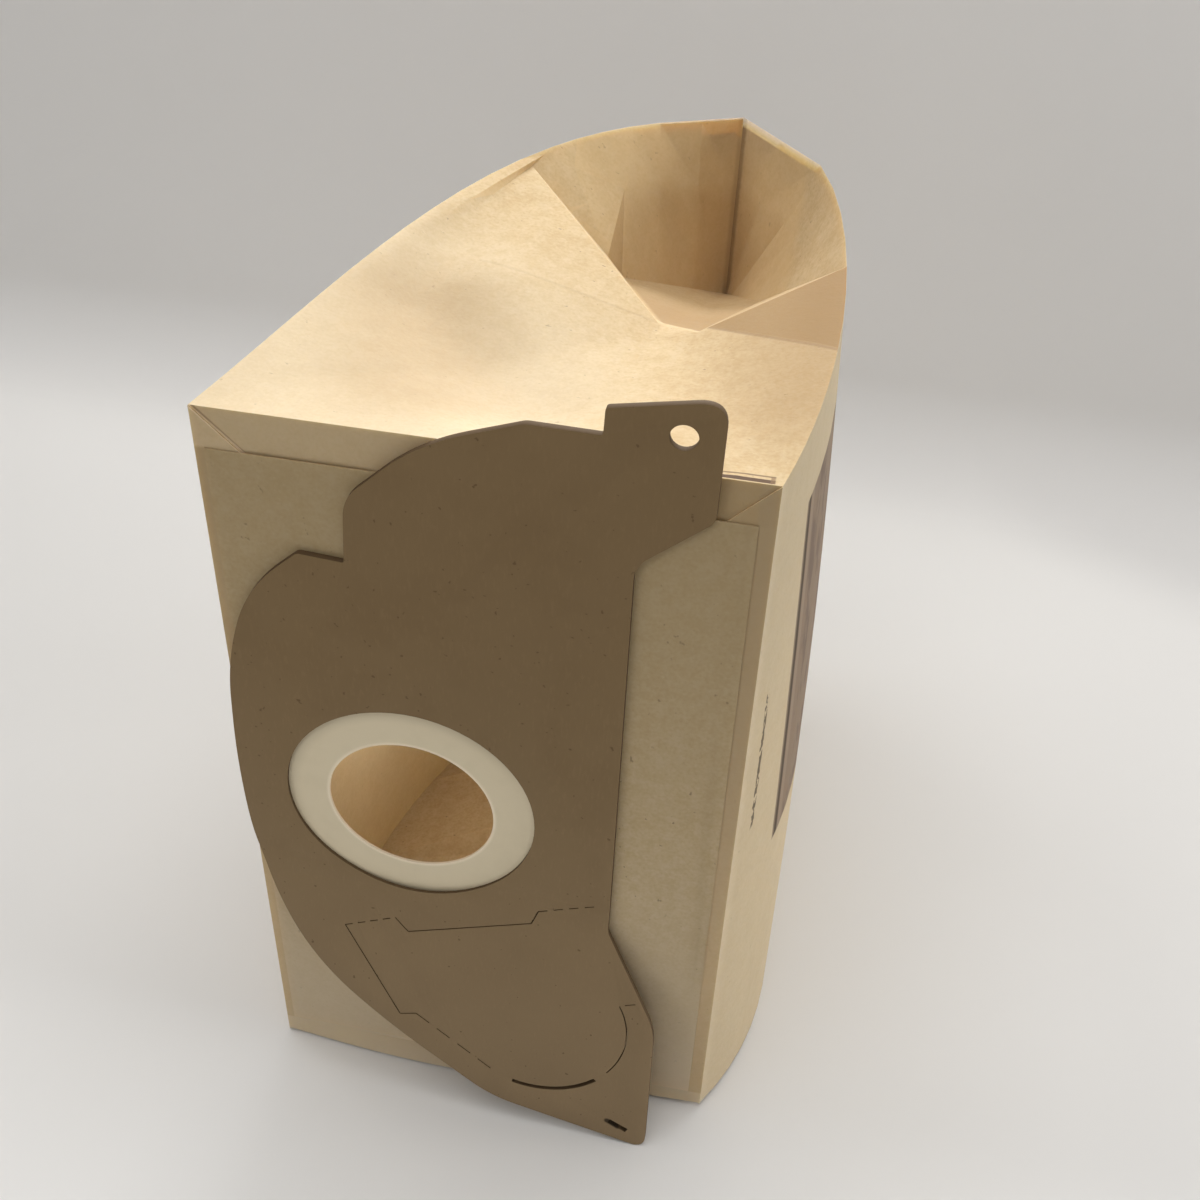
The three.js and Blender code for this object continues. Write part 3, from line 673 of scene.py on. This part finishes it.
OVERHEAD_SIZE = 0.7
BACK_SIZE = 0.6
panel("back", (0.0, 1.25, 0.7), (0, 0, 0.1), BACK_SIZE, 29.7)
panel("overhead_back_right", (0.8, 0.8, 1.1), (0.16, 0.16, 0), OVERHEAD_SIZE, 3.0)
panel("overhead", (0.0, 0.15, 1.1), (0, 0.03, 0), OVERHEAD_SIZE, 4.1)
panel("overhead_left", (-0.8, 0.15, 1.1), (-0.16, 0.03, 0), OVERHEAD_SIZE, 3.9)
panel("overhead_front", (0.0, -0.5, 1.1), (0, -0.1, 0), OVERHEAD_SIZE, 3.3)
panel("right", (1.2, 0.0, 0.4), (0, 0, 0.1), OVERHEAD_SIZE, 7.4)
panel("front", (0.0, -1.3, 0.45), (0, 0, 0.1), OVERHEAD_SIZE, 0.9)
panel("front_left", (-0.9, -0.9, 0.45), (0, 0, 0.1), OVERHEAD_SIZE, 2.1)

# %% Light through the paper
# A small lamp inside stands in for the daylight that the thin paper lets through
bpy.ops.object.light_add(type="POINT", radius=0.03, location=at(-12, 82, 95))
glow = bpy.context.active_object
glow.name = "light_through_the_paper"
glow.data.energy = 0.092
glow.data.color = (1.0, 0.93, 0.83)

# %% The world: almost dark, but pale to a camera that looks past the sheet
world = bpy.data.worlds.new("Studio")
bpy.context.scene.world = world
world.use_nodes = True
world.node_tree.nodes["Background"].inputs["Color"].default_value = (1, 1, 1, 1)
FILL = 0.005
SEEN_BEYOND_THE_SHEET = 0.55
sky = world.node_tree.nodes
seen = Sum(sky, sky.new("ShaderNodeLightPath").outputs["Is Camera Ray"])
strength = seen * SEEN_BEYOND_THE_SHEET + FILL
world.node_tree.links.new(strength.socket, sky["Background"].inputs["Strength"])

# %% [markdown]
# The camera looks down at the end of the bag from a little to the right, tilted slightly.

# %% Camera
ROLL = radians(2.5)
LENS = 45.19
SENSOR_WIDTH = 36
target = at(28.8, 0, 200)
eye = at(73.5, -268.9, 424.5)
camera_data = bpy.data.cameras.new("Camera")
camera_data.lens = LENS
camera_data.sensor_width = SENSOR_WIDTH
camera_data.clip_start = 0.01
camera = bpy.data.objects.new("Camera", camera_data)
bpy.context.scene.collection.objects.link(camera)
camera.location = eye
aim = (target - eye).to_track_quat("-Z", "Y")
camera.rotation_mode = "QUATERNION"
camera.rotation_quaternion = aim @ Quaternion((0, 0, 1), ROLL)
bpy.context.scene.camera = camera
bpy.context.scene.view_settings.view_transform = "Standard"

# %% Find the bounds of what is shown
low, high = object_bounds()
